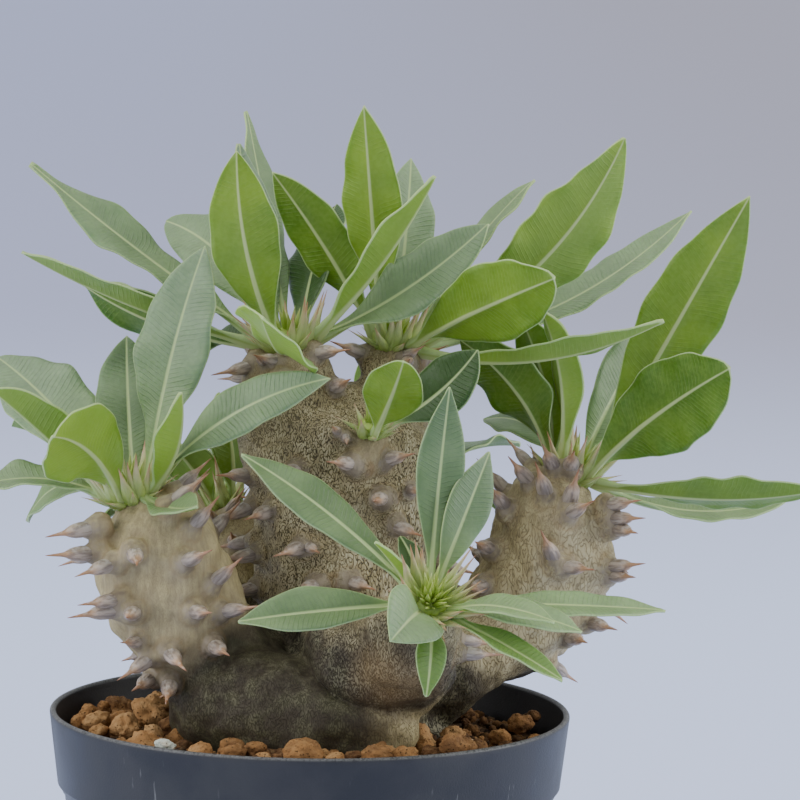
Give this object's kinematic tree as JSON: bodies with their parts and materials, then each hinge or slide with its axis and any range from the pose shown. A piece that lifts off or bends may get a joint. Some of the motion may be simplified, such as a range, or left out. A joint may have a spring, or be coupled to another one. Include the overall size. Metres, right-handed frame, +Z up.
{
  "type": "potted pachypodium rosulatum",
  "caption": "Squat spiny succulent with a swollen foot, thick stems and tufts of lance-shaped leaves, standing in gravelly soil in a round tapered plastic nursery pot.",
  "frame": {"origin": "centre of the pot's flat underside", "axes": "+Z up out of the pot, -Y towards the front of the plant, +X to its right"},
  "size_m": [0.168, 0.1304, 0.212],
  "materials": {
    "pot": "satin charcoal moulded plastic with faint pale scuffs",
    "soil": "dry porous orange-brown clay granules",
    "bark": "grey-brown to olive bark with a fine wrinkled net",
    "leaf": "matt green leaf with a pale midrib and margin"
  },
  "bodies": {
    "root": {"pot": "pot", "soil": "soil", "caudex": "bark", "rosette_left": "leaf", "rosette_top_left": "leaf", "rosette_top_right": "leaf", "rosette_side_bud": "leaf", "rosette_right": "leaf", "rosette_front": "leaf", "rosette_back_left": "leaf", "rosette_back": "leaf"}
  },
  "joints": []
}
